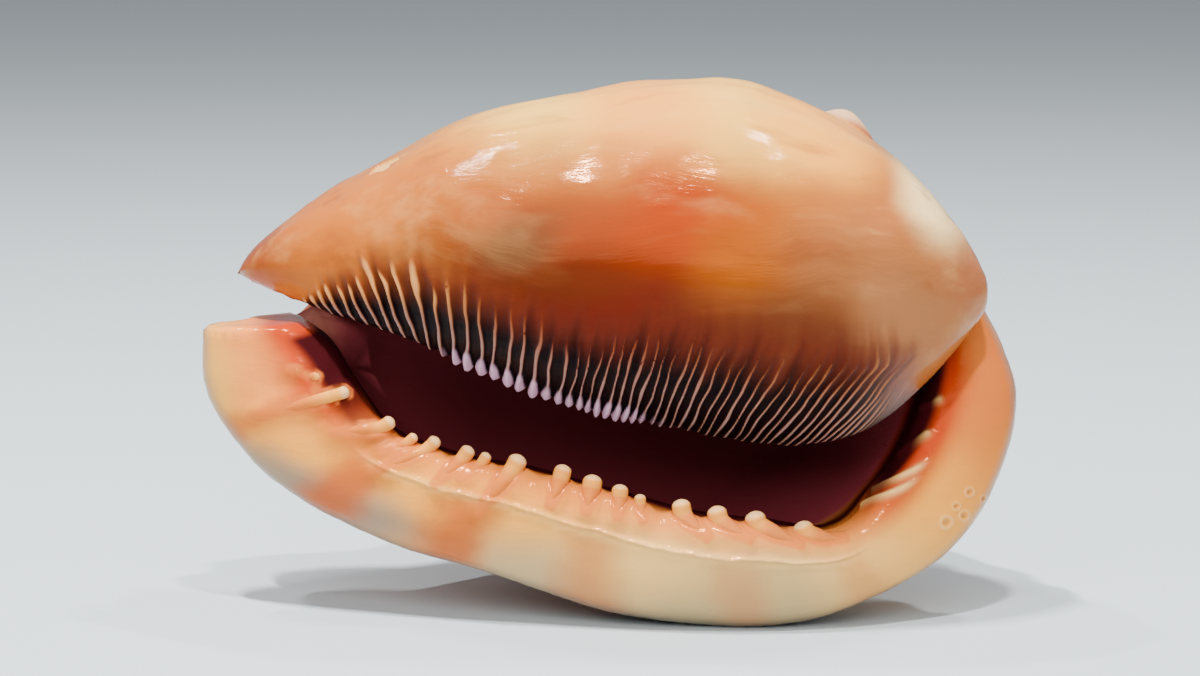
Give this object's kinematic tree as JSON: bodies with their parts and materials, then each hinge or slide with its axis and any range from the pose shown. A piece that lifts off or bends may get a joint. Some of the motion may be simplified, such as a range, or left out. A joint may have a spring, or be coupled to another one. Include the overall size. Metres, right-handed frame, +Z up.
{
  "type": "helmet shell",
  "caption": "Heavy polished helmet shell lying on its outer lip, with a broad callus shield, a rolled toothed lip and a long open mouth.",
  "frame": {"origin": "middle of the shell's box, on the surface it rests on", "axes": "+X along the coiling axis to the spire, -Y the side of the mouth, +Z up as it lies"},
  "size_m": [0.1492, 0.0838, 0.0963],
  "materials": {
    "callus": "polished, cream to burnt orange, with pale folds and teeth"
  },
  "bodies": {
    "root": {"shell": "callus"}
  },
  "joints": []
}
